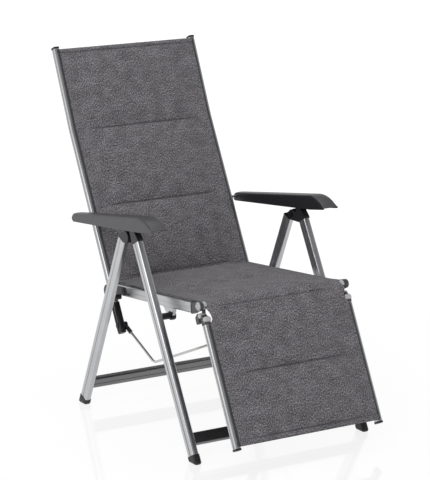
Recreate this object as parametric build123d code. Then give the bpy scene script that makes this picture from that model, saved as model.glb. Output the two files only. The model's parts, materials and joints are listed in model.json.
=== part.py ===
from build123d import *
import math
import os

os.makedirs("parts", exist_ok=True)

# Reclining garden armchair. Millimetres, +Z up, the chair faces -Y, floor at Z = 0.
# Side views are drawn in Y and Z. Every mirrored piece is built on +X, the sitter's left,
# and the piece named left is its mirror image on -X, the left of the front view.

# Places across the chair, from the middle plane
rail_half_spacing = 249.0
leg_rail_spacing = 49.0
arm_leg_shift = 5.0

# Leg and stretcher profile, a flat tube with rounded edges and a groove along each side
leg_depth = 38.0
leg_width = 20.0
leg_edge_radius = 6.0
leg_wall = 2.0
leg_groove_width = 5.0
leg_groove_depth = 1.0

# Front legs: the foot's place, the lean and the tube's length along it
front_foot_y = -346.0
front_leg_angle = 29.5
front_leg_length = 682.0
front_stretcher_height = 62.0

# Rear legs: the foot's place, and the tube's end behind and below the leg top hinge
rear_foot_y = 337.6
rear_leg_top_setback = 28.7
rear_leg_top_drop = 11.2
rear_stretcher_height = 74.0

# Foot caps
foot_sole = 7.0
foot_height = 24.0
foot_wall = 1.8
foot_sole_round = 6.0

# Rails of seat, back and footrest
rail_depth = 24.0
rail_width = 18.0
rail_edge_radius = 5.0
rail_wall = 1.8
rail_slot_width = 3.0
rail_slot_depth = 1.2
seat_rail_depth = 34.0

# Rest pins on the rear legs, the back's hinge behind them, and the back rail's route from it
rest_pin_height = 381.0
hinge_setback = 71.24
hinge_lift = 2.0
back_angle = 28.2
back_top_angle = 24.4
back_tail_length = 131.0
back_lower_length = 531.0
back_upper_length = 263.0
back_bend_radius = 400.0

# Knee hinge between seat and footrest, and the footrest rail's run from it
knee_y = -298.0
knee_z = 459.0
footrest_angle = 27.4
footrest_rail_start = 58.0
footrest_rail_end = 428.0

# Seat rail ends measured from knee and hinge, and the pivot on the front legs below the rail
seat_front_setback = 36.0
seat_front_drop = 13.8
seat_rear_lead = 34.0
seat_rear_lift = 14.2
seat_pivot_drop = 40.97

# Leg top hinge beyond the front leg's end and behind it, and the notch pin in front and above
apex_rise = 34.2
apex_setback = 47.5
notch_pin_lead = 26.0
notch_pin_rise = 40.0

# Armrest peg on the back rail, measured up the rail from the hinge
peg_distance = 248.0
peg_radius = 5.0

# Push rods
rod_bolt_distance = 113.0
rod_radius = 4.0
rod_bend_lead = 235.0
rod_bend_drop = 175.0
rod_bend_radius = 36.0
rod_eye_radius = 10.0
rod_eye_width = 10.0
rod_sleeve_radius = 6.5
rod_sleeve_length = 40.0

# Bolts and pins
bolt_radius = 4.0
bolt_head_radius = 8.0
bolt_head_height = 3.5
running_gap = 0.05
seat_gap = 0.3
face_gap = 0.5
spacer_radius = 10.0
pin_radius = 4.0
rest_pin_radius = 8.0

# Leg top block and rear knuckle
plug_length = 30.0
plug_gap = 0.1
lug_radius = 16.5
knuckle_radius = 18.0
knuckle_proud = 1.5
cheek_radius = 9.0
rack_slot_width = 11.0
rack_slot_drop = 14.0

# Ear below the seat rail
ear_thickness = 10.0
ear_radius = 12.0
ear_root_rear = 44.0
ear_root_front = 20.0

# Rear fitting of the seat rail
rear_plate_thickness = 8.0
rear_plate_hinge_radius = 21.0
rear_plate_root_radius = 13.0
rear_plate_root_lead = 10.8
hook_exit_length = 40.0

# Knee fittings
knee_barrel_radius = 14.0
knee_outer_proud = 4.0
knee_inner_proud = 3.5
knee_tube_radius = 7.0
knee_tube_wall = 1.5
knee_stop_length = 20.0
knee_stop_depth = 26.0
knee_stop_offset = 25.0
knee_stop_start = 28.0
knee_rib_radius = 8.0
knee_rear_rib_distance = 25.0
knee_rear_rib_offset = 9.0
knee_front_rib_distance = 43.0
knee_front_rib_offset = 8.0
knee_clear_radius = 34.0

# Cross tubes
cross_tube_radius = 7.0
cross_tube_wall = 1.5
cross_tube_setback = 5.0
back_upper_tube_drop = 94.0
back_lower_tube_distance = 60.0
footrest_tube_distance = 380.0
rear_tube_setback = 16.0

# Rail end caps
cap_height = 6.0
cap_proud = 1.2
cap_edge = 1.5
bottom_cap_height = 7.0

# Armrests: distances beyond the notch pin, heights from a line through the peg
arm_width = 54.0
arm_rear_width = 42.0
arm_pin_angle = 3.06
arm_top_height = 12.0
arm_rear_centre = 3.0
arm_rear_radius = 13.0
arm_bend_beyond = 82.6
arm_tip_beyond = 166.6
arm_tip_drop = 25.0
arm_nose_height = 7.0
arm_nose_bulge = 3.0
arm_under_beyond = 94.6
arm_under_drop = 33.0
arm_hollow_beyond = 86.6
arm_hollow_low_beyond = 122.6
arm_wall = 4.0
arm_top_round = 4.0
arm_boss_radius = 10.0
rack_thickness = 7.0
rack_before = 53.4
rack_beyond = 82.6
rack_clearance = 4.6
notch_count = 7
notch_radius = 6.0

# Padded fabric
sheet_thickness = 3.0
sheet_edge_gap = 1.0
pad_side_inset = 45.0
pad_crown = 9.0
pad_back_crown = 7.0
hem_gap = 10.0
back_pad_start = 52.0
back_pad_low_seam = 274.0
back_pad_top_setback = 4.0
seat_pad_rear_lead = 18.0
seat_seam_distance = 190.0
seat_knee_seam_distance = 8.0
knee_wrap_angle = 58.0
footrest_pad_start = 27.0
footrest_seam_distance = 210.0
footrest_pad_setback = 7.0
footrest_hem_gap = 23.0

# One overrun serves all the cuts
overrun = 2.0


def lean_up(angle):
    """Unit vector that rises toward +Y by the given lean from the vertical."""
    return (math.sin(math.radians(angle)), math.cos(math.radians(angle)))


def along(point, unit, distance, offset=0.0):
    """Point at a distance along a unit vector, and offset to its right as seen from +X."""
    return (
        point[0] + unit[0] * distance + unit[1] * offset,
        point[1] + unit[1] * distance - unit[0] * offset,
    )


def crossing(point, unit, other, other_unit):
    """Point where a line through point along unit meets a second such line."""
    gap = (other[0] - point[0], other[1] - point[1])
    turn = unit[0] * other_unit[1] - unit[1] * other_unit[0]
    return along(point, unit, (gap[0] * other_unit[1] - gap[1] * other_unit[0]) / turn)


def station(point, unit, x):
    """Plane across a bar: local X is across the chair, local Y its rear or lower side."""
    return Plane(origin=(x, point[0], point[1]), x_dir=(1, 0, 0), z_dir=(0, unit[0], unit[1]))


def side_face(shape, x0, x1):
    """Extrude a side view drawn in Y and Z from x0 to x1."""
    plane = Plane(origin=(x0, 0, 0), x_dir=(0, 1, 0), z_dir=(1, 0, 0))
    return extrude(plane * shape, amount=x1 - x0, dir=(1, 0, 0))


def disc(point, radius):
    return Pos(point[0], point[1]) * Circle(radius)


def pin(point, radius, x0, x1):
    """Round bar across the chair."""
    return side_face(disc(point, radius), x0, x1)


def hull(*shapes):
    edges = []
    for shape in shapes:
        edges += list(shape.edges())
    return make_hull(edges)


def block_between(start, unit, length, x, width, depth, radius):
    """Bar of rounded rectangular section along a unit vector."""
    return extrude(station(start, unit, x) * RectangleRounded(width, depth, radius), amount=length)


def leg_section():
    """Tube section with its wall and a shallow groove along both wide sides."""
    outline = RectangleRounded(leg_width, leg_depth, leg_edge_radius)
    for side in (-1, 1):
        outline -= Pos(side * leg_width / 2, 0) * Rectangle(2 * leg_groove_depth, leg_groove_width)
    return outline - RectangleRounded(
        leg_width - 2 * leg_wall, leg_depth - 2 * leg_wall, leg_edge_radius - leg_wall
    )


def rail_section(depth):
    """Tube section with a keder slot in its upper face and a groove on its outer side."""
    outline = RectangleRounded(rail_width, depth, rail_edge_radius)
    outline -= Pos(0, -depth / 2) * Rectangle(rail_slot_width, 2 * rail_slot_depth)
    outline -= Pos(rail_width / 2, 0) * Rectangle(2 * rail_slot_depth, rail_slot_width)
    return outline - RectangleRounded(
        rail_width - 2 * rail_wall, depth - 2 * rail_wall, rail_edge_radius - rail_wall
    )


def both(shape):
    """The shape and its mirror image."""
    return shape, mirror(shape, about=Plane.YZ)


# Side places worked out from the driving sizes
knee = (knee_y, knee_z)
front_up = lean_up(front_leg_angle)
back_up = lean_up(back_angle)
back_top_up = lean_up(back_top_angle)
footrest_up = lean_up(footrest_angle)
footrest_down = (-footrest_up[0], -footrest_up[1])
front_foot = (front_foot_y, 0.0)
rear_foot = (rear_foot_y, 0.0)
front_leg_top = along(front_foot, front_up, front_leg_length)
apex = along(front_leg_top, front_up, apex_rise, apex_setback)
notch_pin = (apex[0] - notch_pin_lead, apex[1] + notch_pin_rise)
rear_leg_top = (apex[0] + rear_leg_top_setback, apex[1] - rear_leg_top_drop)
rear_leg_length = math.dist(rear_foot, rear_leg_top)
rear_up = (
    (rear_leg_top[0] - rear_foot[0]) / rear_leg_length,
    (rear_leg_top[1] - rear_foot[1]) / rear_leg_length,
)
rear_leg_angle = math.degrees(math.atan2(-rear_up[0], rear_up[1]))
rest_pin = along(rear_foot, rear_up, rest_pin_height / rear_up[1])
hinge = (rest_pin[0] + hinge_setback, rest_pin[1] + hinge_lift)
seat_front = (knee[0] + seat_front_setback, knee[1] - seat_front_drop)
seat_rear = (hinge[0] - seat_rear_lead, hinge[1] + seat_rear_lift)
seat_length = math.dist(seat_front, seat_rear)
seat_back = (
    (seat_rear[0] - seat_front[0]) / seat_length,
    (seat_rear[1] - seat_front[1]) / seat_length,
)
seat_pivot_line = along(seat_front, seat_back, 0.0, seat_pivot_drop)
seat_pivot = crossing(seat_pivot_line, seat_back, front_foot, front_up)
peg = along(hinge, back_up, peg_distance)
back_rod_bolt = along(hinge, back_up, -rod_bolt_distance)
footrest_rod_bolt = (
    knee[0] + back_rod_bolt[0] - hinge[0],
    knee[1] + back_rod_bolt[1] - hinge[1],
)
footrest_top = along(knee, footrest_down, footrest_rail_start)
footrest_end = along(knee, footrest_down, footrest_rail_end)
back_down = (-back_up[0], -back_up[1])
back_low = along(hinge, back_up, -back_tail_length)
back_bend = along(hinge, back_up, back_lower_length)
back_high = along(back_bend, back_top_up, back_upper_length)

# Places across the chair worked out from the same sizes
leg_half_spacing = rail_half_spacing + leg_rail_spacing
arm_half_spacing = leg_half_spacing + arm_leg_shift
leg_inner = leg_half_spacing - leg_width / 2
leg_outer = leg_half_spacing + leg_width / 2
rail_inner = rail_half_spacing - rail_width / 2
rail_outer = rail_half_spacing + rail_width / 2
hinge_plate_inner = rail_outer + face_gap
hinge_plate_outer = hinge_plate_inner + rear_plate_thickness
ear_inner = rail_half_spacing - ear_thickness / 2
ear_outer = rail_half_spacing + ear_thickness / 2
knee_half = rail_inner - knee_inner_proud - sheet_edge_gap


def end_cap(place, outward, height):
    """Plastic cap over a rail's end."""
    cap = block_between(
        place, outward, height, rail_half_spacing,
        rail_width + 2 * cap_proud, rail_depth + 2 * cap_proud, rail_edge_radius + cap_proud,
    )
    top = cap.edges().group_by(Axis((0, place[0], place[1]), (0, outward[0], outward[1])))[-1]
    return fillet(top, cap_edge)


# The rear and front extremes are the back's top caps and the footrest's end caps
back_top_cap = end_cap(back_high, back_top_up, cap_height)
footrest_end_cap = end_cap(footrest_end, footrest_down, cap_height)
middle_y = (back_top_cap.bounding_box().max.Y + footrest_end_cap.bounding_box().min.Y) / 2


def save(name, *shapes):
    """Write the solids as one STEP file, moved so that the chair stands over the origin."""
    solids = []
    for shape in shapes:
        solids += list((Pos(0, -middle_y, 0) * shape).solids())
    export_step(solids[0] if len(solids) == 1 else Compound(children=solids), f"parts/{name}.step")


def save_pair(name, shape):
    right, left = both(shape)
    save(f"{name}_right", right)
    save(f"{name}_left", left)


def leg(foot, up, length, holes):
    """Leg tube cut level above its foot, with its cross holes."""
    start = along(foot, up, -leg_depth)
    tube = extrude(station(start, up, leg_half_spacing) * leg_section(), amount=length + leg_depth)
    floor = Pos(leg_half_spacing, foot[0], foot_sole - leg_depth) * Box(
        2 * leg_width, 4 * leg_depth, 2 * leg_depth
    )
    tube -= floor
    for point, radius, x0, x1 in holes:
        tube -= pin(point, radius, x0, x1)
    return tube


def foot_cap(foot, up):
    """Cap round the foot of a leg, flat on the floor with a rounded lower edge."""
    start = along(foot, up, -leg_depth)
    outer = block_between(
        start, up, leg_depth + foot_height, leg_half_spacing,
        leg_width + 2 * foot_wall, leg_depth + 2 * foot_wall, leg_edge_radius + foot_wall,
    )
    inner = block_between(
        start, up, 2 * leg_depth + foot_height, leg_half_spacing,
        leg_width, leg_depth, leg_edge_radius,
    )
    below = Pos(leg_half_spacing, foot[0], -leg_depth) * Box(4 * leg_width, 4 * leg_depth, 2 * leg_depth)
    sole = Pos(leg_half_spacing, foot[0], foot_sole - leg_depth) * Box(
        4 * leg_width, 4 * leg_depth, 2 * leg_depth
    )
    outer -= below
    rim = outer.edges().group_by(Axis.Z)[0]
    return fillet(rim, foot_sole_round) - (inner - sole)


def stretcher(foot, up, height):
    """Cross tube between a pair of legs, its section turned with their lean."""
    place = along(foot, up, height / up[1])
    rear = (up[1], -up[0])
    plane = Plane(origin=(-leg_inner, place[0], place[1]), x_dir=(0, rear[0], rear[1]), z_dir=(1, 0, 0))
    return extrude(plane * leg_section(), amount=2 * leg_inner)


# Front frame
pivot_bolt_end = leg_half_spacing
save_pair(
    "front_leg",
    leg(front_foot, front_up, front_leg_length,
        [(seat_pivot, bolt_radius + running_gap, leg_inner - overrun, pivot_bolt_end)]),
)
save("front_stretcher", stretcher(front_foot, front_up, front_stretcher_height))
save("front_foot_caps", *both(foot_cap(front_foot, front_up)))


def leg_top_block():
    """Moulding in the front leg's top: two cheeks for the notch pin and a lug for the rear leg."""
    plug = block_between(
        along(front_leg_top, front_up, -plug_length), front_up, plug_length, leg_half_spacing,
        leg_width - 2 * leg_wall - 2 * plug_gap, leg_depth - 2 * leg_wall - 2 * plug_gap,
        leg_edge_radius - leg_wall,
    )
    shoulder = along(front_leg_top, front_up, leg_edge_radius / 2)
    turn = Rot(0, 0, -front_leg_angle)
    base = Pos(shoulder[0], shoulder[1]) * turn * Rectangle(leg_depth, leg_edge_radius)
    cheeks = side_face(hull(base, disc(notch_pin, cheek_radius)), leg_inner, leg_outer)
    lug = side_face(hull(base, disc(apex, lug_radius)), leg_inner, leg_half_spacing - face_gap / 2)
    swept = disc(apex, knuckle_radius + face_gap)
    cheeks -= side_face(swept, leg_half_spacing - face_gap / 2, leg_outer + overrun)
    slot_top = along(notch_pin, (0.0, 1.0), 2 * cheek_radius)
    slot = Pos(slot_top[0], slot_top[1]) * Rectangle(
        8 * cheek_radius, 2 * (2 * cheek_radius + rack_slot_drop)
    )
    body = cheeks + lug
    body -= side_face(
        slot, leg_half_spacing - rack_slot_width / 2, leg_half_spacing + rack_slot_width / 2
    )
    body += plug
    body -= pin(notch_pin, pin_radius + running_gap, leg_inner - overrun, leg_outer + overrun)
    return body - pin(apex, bolt_radius + running_gap, leg_inner - overrun, leg_outer + overrun)


def headed_bolt(point, head_x, end_x):
    """Bolt across the chair with its head at head_x, shank to end_x."""
    step = 1.0 if end_x > head_x else -1.0
    low, high = min(head_x, end_x), max(head_x, end_x)
    shank = pin(point, bolt_radius, low, high)
    head_low = head_x - bolt_head_height if step > 0 else head_x
    head = pin(point, bolt_head_radius, head_low, head_low + bolt_head_height)
    return shank + head


save_pair("leg_top_block", leg_top_block())
save("notch_pins", *both(pin(notch_pin, pin_radius, leg_inner - running_gap, leg_outer + running_gap)))
leg_pin_outer = leg_outer + knuckle_proud
save("leg_pivot_bolts", *both(headed_bolt(apex, leg_inner, leg_pin_outer)))
spacer = pin(seat_pivot, spacer_radius, ear_outer + face_gap / 2, leg_inner)
spacer -= pin(seat_pivot, bolt_radius + running_gap, ear_inner, leg_outer)
save("seat_spacers", *both(spacer))
save("seat_pivot_bolts", *both(headed_bolt(seat_pivot, ear_inner - face_gap / 2, pivot_bolt_end)))

# Rear frame
rest_pin_solid = pin(rest_pin, rest_pin_radius, hinge_plate_inner, leg_inner)
save_pair("rear_leg", leg(rear_foot, rear_up, rear_leg_length, []))
save("rear_stretcher", stretcher(rear_foot, rear_up, rear_stretcher_height))
save("rear_foot_caps", *both(foot_cap(rear_foot, rear_up)))
save("seat_rest_pins", *both(rest_pin_solid))


def rear_knuckle():
    """Fitting in the rear leg's top, with a round lug beside the leg top block's."""
    plug = block_between(
        along(rear_leg_top, rear_up, -plug_length), rear_up, plug_length, leg_half_spacing,
        leg_width - 2 * leg_wall - 2 * plug_gap, leg_depth - 2 * leg_wall - 2 * plug_gap,
        leg_edge_radius - leg_wall,
    )
    edge = Pos(*along(rear_leg_top, rear_up, face_gap / 2)) * Rot(0, 0, rear_leg_angle)
    base = edge * Rectangle(leg_depth - 2 * leg_wall, face_gap)
    lug = side_face(
        hull(base, disc(apex, knuckle_radius)), leg_half_spacing + face_gap / 2, leg_pin_outer
    )
    body = lug + plug
    return body - pin(apex, bolt_radius + running_gap, leg_inner - overrun, leg_pin_outer + overrun)


save_pair("rear_knuckle", rear_knuckle())


# Seat frame
def seat_rail():
    section = rail_section(seat_rail_depth)
    return extrude(station(seat_front, seat_back, rail_half_spacing) * section, amount=seat_length)


save_pair("seat_rail", seat_rail())


def seat_ear():
    """Tab under the seat rail that turns on the front leg's pivot bolt."""
    foot_of_rail = seat_rail_depth / 2
    distance = seat_pivot[0] - seat_front[0]
    rear_root = along(seat_front, seat_back, distance + ear_root_rear, foot_of_rail)
    front_root = along(seat_front, seat_back, distance - ear_root_front, foot_of_rail)
    root = Polygon(rear_root, front_root, (seat_pivot[0], seat_pivot[1]), align=None)
    shape = hull(root, disc(seat_pivot, ear_radius))
    lift = along(seat_front, seat_back, distance, 0.0)
    above = Pos(lift[0], lift[1]) * Rot(0, 0, math.degrees(math.atan2(seat_back[1], seat_back[0])))
    shape -= above * Rectangle(4 * seat_rail_depth, seat_rail_depth)
    ear = side_face(shape, ear_inner, ear_outer)
    return ear - pin(seat_pivot, bolt_radius + running_gap, ear_inner - overrun, ear_outer + overrun)


save("seat_ears", *both(seat_ear()))


def seat_rear_fitting():
    """Plate on the seat rail's outer side: back hinge at its rear, hook over the rest pin."""
    distance = rest_pin[0] - rear_plate_root_lead - seat_front[0]
    root = along(seat_front, seat_back, distance / seat_back[0])
    shape = hull(disc(hinge, rear_plate_hinge_radius), disc(root, rear_plate_root_radius))
    exit_unit = ((rest_pin[1] - apex[1]), -(rest_pin[0] - apex[0]))
    size = math.hypot(*exit_unit)
    exit_point = along(rest_pin, (exit_unit[0] / size, exit_unit[1] / size), hook_exit_length)
    clear = rest_pin_radius + running_gap
    shape -= hull(disc(rest_pin, clear), disc(exit_point, clear + face_gap))
    plate = side_face(shape, hinge_plate_inner, hinge_plate_outer)
    return plate - pin(hinge, bolt_radius + running_gap, rail_inner, leg_inner)


save_pair("seat_rear_fitting", seat_rear_fitting())
hinge_bolt = headed_bolt(hinge, hinge_plate_outer, rail_inner - overrun)
save("back_hinge_bolts", *both(hinge_bolt))


def seat_front_fitting():
    """Plug in the seat rail's front, barrel round the knee axle and a stop behind the footrest."""
    half = seat_rail_depth / 2 - rail_wall - plug_gap
    plug = block_between(
        seat_front, seat_back, plug_length, rail_half_spacing,
        rail_width - 2 * rail_wall - 2 * plug_gap, 2 * half, rail_edge_radius - rail_wall,
    )
    end = Pos(*along(seat_front, seat_back, -cap_edge)) * Rot(
        0, 0, math.degrees(math.atan2(seat_back[1], seat_back[0]))
    )
    base = end * Rectangle(2 * cap_edge, seat_rail_depth)
    stop_top = along(knee, footrest_down, knee_stop_start, -knee_stop_offset - knee_stop_depth / 2)
    stop = Pos(stop_top[0], stop_top[1]) * Rot(0, 0, -footrest_angle) * Rectangle(
        knee_stop_depth, knee_stop_length
    )
    outer = rail_outer + knee_outer_proud
    barrel = side_face(hull(base, disc(knee, knee_barrel_radius)), rail_half_spacing, outer)
    barrel += side_face(hull(base, stop), rail_half_spacing, outer)
    barrel += side_face(base, rail_inner, outer)
    barrel -= block_between(
        seat_front, seat_back, seat_length, rail_half_spacing,
        4 * rail_width, seat_rail_depth, rail_edge_radius,
    )
    bore = pin(knee, knee_tube_radius + running_gap, rail_inner, outer - knee_outer_proud)
    return barrel + plug - bore


def footrest_fitting():
    """Plug in the footrest rail's top and a barrel that turns on the knee axle."""
    start = along(knee, footrest_down, footrest_rail_start)
    plug = block_between(
        start, footrest_down, plug_length, rail_half_spacing,
        rail_width - 2 * rail_wall - 2 * plug_gap, rail_depth - 2 * rail_wall - 2 * plug_gap,
        rail_edge_radius - rail_wall,
    )
    end = Pos(*along(start, footrest_up, cap_edge)) * Rot(0, 0, -footrest_angle)
    base = end * Rectangle(rail_depth, 2 * cap_edge)
    inner = rail_inner - knee_inner_proud
    split = rail_half_spacing - face_gap
    shape = hull(base, disc(knee, knee_barrel_radius - cap_edge))
    for place, side in (
        (knee_rear_rib_distance, -knee_rear_rib_offset),
        (knee_front_rib_distance, knee_front_rib_offset),
    ):
        shape += disc(along(knee, footrest_down, place, side), knee_rib_radius + cap_edge)
    clear = disc(knee, knee_clear_radius)
    body = side_face(shape, inner, split)
    body += side_face(shape - clear, split, rail_outer) + plug
    return body - pin(knee, knee_tube_radius + running_gap, inner - overrun, rail_outer)


save_pair("seat_front_fitting", seat_front_fitting())
axle_end = rail_outer
axle = pin(knee, knee_tube_radius, -axle_end + face_gap, axle_end - face_gap)
axle -= pin(knee, knee_tube_radius - knee_tube_wall, -axle_end, axle_end)
save("knee_cross_tube", axle)


def cross_tube(place, half_length):
    tube = pin(place, cross_tube_radius, -half_length, half_length)
    bore_radius = cross_tube_radius - cross_tube_wall
    return tube - pin(place, bore_radius, -half_length - overrun, half_length + overrun)


rear_tube_place = along(seat_rear, seat_back, -rear_tube_setback, cap_edge)
save("seat_rear_cross_tube", cross_tube(rear_tube_place, rail_inner))


# Back frame
def back_rail():
    """Rail from its tail to its top with one gentle bend."""
    points = [(rail_half_spacing, y, z) for y, z in (back_low, back_bend, back_high)]
    path = FilletPolyline(*points, radius=back_bend_radius)
    rail = sweep(station(back_low, back_up, rail_half_spacing) * rail_section(rail_depth), path=path)
    for place, radius in (
        (hinge, bolt_radius), (back_rod_bolt, bolt_radius), (peg, peg_radius),
    ):
        rail -= pin(place, radius + running_gap, rail_inner - overrun, rail_outer + overrun)
    return rail


save_pair("back_rail", back_rail())
save("back_top_caps", *both(back_top_cap))
save("back_bottom_caps", *both(end_cap(back_low, back_down, bottom_cap_height)))
save(
    "back_upper_cross_tube",
    cross_tube(along(back_high, back_top_up, -back_upper_tube_drop, cross_tube_setback), rail_inner),
)
save(
    "back_lower_cross_tube",
    cross_tube(along(hinge, back_up, back_lower_tube_distance, cross_tube_setback), rail_inner),
)
arm_outer = arm_half_spacing + arm_width / 2
arm_inner = arm_half_spacing - arm_width / 2
peg_end = arm_half_spacing
save("armrest_pegs", *both(pin(peg, peg_radius, rail_inner - overrun, peg_end)))
rod_eye_outer = rail_inner - cap_proud - face_gap
rod_eye_inner = rod_eye_outer - rod_eye_width
rod_x = (rod_eye_inner + rod_eye_outer) / 2
rod_bolt = headed_bolt(back_rod_bolt, rail_outer, rod_eye_inner - overrun)
save("back_rod_bolts", *both(rod_bolt))

# Footrest
def footrest_rail():
    section = Rot(0, 0, 180) * mirror(rail_section(rail_depth), about=Plane.YZ)
    rail = extrude(
        station(footrest_top, footrest_down, rail_half_spacing) * section,
        amount=footrest_rail_end - footrest_rail_start,
    )
    return rail - pin(
        footrest_rod_bolt, bolt_radius + running_gap, rail_inner - overrun, rail_half_spacing
    )


def footrest_rail_fitting():
    """Knee fitting with a hole where the rod bolt passes its plug."""
    return footrest_fitting() - pin(
        footrest_rod_bolt, bolt_radius + running_gap, rail_inner - overrun, rail_outer
    )


save_pair("footrest_rail", footrest_rail())
save_pair("footrest_fitting", footrest_rail_fitting())
save("footrest_end_caps", *both(footrest_end_cap))
save(
    "footrest_cross_tube",
    cross_tube(along(knee, footrest_down, footrest_tube_distance, -cross_tube_setback), rail_inner),
)
foot_bolt = pin(footrest_rod_bolt, bolt_radius, rod_eye_inner - overrun, rail_half_spacing)
save("footrest_rod_bolts", *both(foot_bolt))


# Push rods
def push_rod():
    """Bent steel wire from the back rail's tail to the footrest, a plastic eye on each end."""
    bend = (hinge[0] - rod_bend_lead, hinge[1] - rod_bend_drop)
    points = []
    for eye in (back_rod_bolt, footrest_rod_bolt):
        size = math.dist(eye, bend)
        unit = ((bend[0] - eye[0]) / size, (bend[1] - eye[1]) / size)
        points.append((eye, unit, along(eye, unit, rod_eye_radius - cap_edge)))
    rear, front = points
    route = [(rod_x, *rear[2]), (rod_x, *bend), (rod_x, *front[2])]
    path = FilletPolyline(*route, radius=rod_bend_radius)
    plane = Plane(origin=route[0], z_dir=(0, rear[1][0], rear[1][1]))
    wire = sweep(plane * Circle(rod_radius), path=path)
    eyes = []
    for eye, unit, start in points:
        body = side_face(disc(eye, rod_eye_radius), rod_eye_inner, rod_eye_outer)
        sleeve_plane = Plane(origin=(rod_x, *eye), z_dir=(0, unit[0], unit[1]))
        sleeve = extrude(sleeve_plane * Circle(rod_sleeve_radius), amount=rod_sleeve_length)
        limit = Pos((rod_eye_inner + rod_eye_outer) / 2, *eye) * Box(
            rod_eye_width, 4 * rod_sleeve_length, 4 * rod_sleeve_length
        )
        body += sleeve & limit
        body -= pin(eye, bolt_radius + running_gap, rod_eye_inner - overrun, rod_eye_outer + overrun)
        bore = extrude(
            Plane(origin=(rod_x, *start), z_dir=(0, unit[0], unit[1])) * Circle(rod_radius + running_gap),
            amount=2 * rod_sleeve_length,
        )
        eyes.append(body - bore)
    return wire, eyes


rod_wire, rod_eyes = push_rod()
save_pair("push_rod", rod_wire)
for side_name, index in (("right", 0), ("left", 1)):
    save(f"push_rod_eyes_{side_name}", *[both(eye)[index] for eye in rod_eyes])

# Armrests, drawn along a line from the peg that passes above the notch pin
pin_reach = math.dist(peg, notch_pin)
pin_angle = math.degrees(math.atan2(notch_pin[1] - peg[1], peg[0] - notch_pin[0]))
arm_angle = math.radians(pin_angle + arm_pin_angle)
arm_forward = (-math.cos(arm_angle), math.sin(arm_angle))
arm_bend = pin_reach + arm_bend_beyond
arm_tip = pin_reach + arm_tip_beyond
arm_under_start = pin_reach + arm_under_beyond
arm_hollow_end = pin_reach + arm_hollow_beyond
arm_hollow_low_end = pin_reach + arm_hollow_low_beyond
rack_start = pin_reach - rack_before
rack_end = pin_reach + rack_beyond


def arm_point(distance, height):
    """Point on the armrest by its distance ahead of the peg and its height above that line."""
    return (
        peg[0] + arm_forward[0] * distance + arm_forward[1] * height,
        peg[1] + arm_forward[1] * distance - arm_forward[0] * height,
    )


def arm_side():
    """Side outline: round rear end, straight top, a bend down to the nose, straight underside."""
    start = arm_point(-arm_rear_centre, arm_top_height)
    bend = arm_point(arm_bend, arm_top_height)
    tip = arm_point(arm_tip, -arm_tip_drop)
    nose_low = arm_point(arm_tip, -arm_tip_drop - arm_nose_height)
    nose_front = arm_point(arm_tip + arm_nose_bulge, -arm_tip_drop - arm_nose_height / 2)
    under = arm_point(arm_under_start, -arm_under_drop)
    rear_low = arm_point(-arm_rear_centre, arm_top_height - 2 * arm_rear_radius)
    rear_end = arm_point(-arm_rear_centre - arm_rear_radius, arm_top_height - arm_rear_radius)
    return make_face(Curve() + [
        Line(start, bend), TangentArc(bend, tip, tangent=arm_forward),
        ThreePointArc(tip, nose_front, nose_low), Line(nose_low, under), Line(under, rear_low),
        ThreePointArc(rear_low, rear_end, start),
    ])


def arm_plan():
    """Plan outline: straight inner side, outer side that draws in toward the rear."""
    rear_y = arm_point(-2 * arm_rear_radius, 0.0)[0]
    front_y = arm_point(arm_tip, -2 * arm_under_drop)[0]
    rear_outer = arm_inner + arm_rear_width
    middle = ((rear_outer + 2 * arm_outer) / 3, (rear_y + front_y) / 2)
    return make_face(Curve() + [
        Line((arm_inner, rear_y), (rear_outer, rear_y)),
        ThreePointArc((rear_outer, rear_y), middle, (arm_outer, front_y)),
        Line((arm_outer, front_y), (arm_inner, front_y)),
        Line((arm_inner, front_y), (arm_inner, rear_y)),
    ])


def standing(face):
    """Upright prism over a plan outline, tall enough to pass the whole armrest."""
    tall = arm_tip
    return extrude(Plane(origin=(0, 0, peg[1] - tall)) * face, amount=2 * tall, dir=(0, 0, 1))


def armrest():
    """Hollow moulding, open below, with a boss round the peg."""
    shell = side_face(arm_side(), arm_inner, arm_outer) & standing(arm_plan())
    shell = fillet(shell.edges().filter_by(edge_is_on_top), arm_top_round)
    ceiling = arm_top_height - arm_wall
    hollow_rear = arm_wall - arm_rear_radius
    room = Polygon(
        arm_point(hollow_rear, ceiling), arm_point(arm_hollow_end, ceiling),
        arm_point(arm_hollow_low_end, -2 * arm_under_drop), arm_point(hollow_rear, -2 * arm_under_drop),
        align=None,
    )
    shell -= side_face(room, arm_inner, arm_outer) & standing(offset(arm_plan(), -arm_wall))
    shell += pin(peg, arm_boss_radius, arm_inner + arm_wall / 2, peg_end + arm_wall)
    return shell - pin(peg, peg_radius + running_gap, arm_inner - overrun, peg_end)


def edge_is_on_top(edge):
    """Long straight-topped edges of the moulding, on its inner and outer side."""
    middle = edge @ 0.5
    above = (middle.Y - peg[0]) * arm_forward[1] - (middle.Z - peg[1]) * arm_forward[0]
    return edge.length > arm_bend / 2 and above > arm_wall


def arm_rack():
    """Notched rib inside the armrest, its teeth above the leg's notch pin."""
    aim = ((notch_pin[0] - peg[0]) / pin_reach, (notch_pin[1] - peg[1]) / pin_reach)
    low = pin_radius + rack_clearance
    ceiling = arm_top_height - arm_wall
    shape = Polygon(
        along(peg, aim, rack_start, low), along(peg, aim, rack_end, low),
        arm_point(rack_end, ceiling), arm_point(rack_start, ceiling), align=None,
    )
    pitch = (rack_end - rack_start) / notch_count
    for index in range(notch_count):
        shape -= disc(along(peg, aim, rack_start + (index + 0.5) * pitch, low), notch_radius)
    return side_face(
        shape, leg_half_spacing - rack_thickness / 2, leg_half_spacing + rack_thickness / 2
    )


save_pair("armrest", armrest())
save_pair("armrest_rack", arm_rack())


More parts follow.
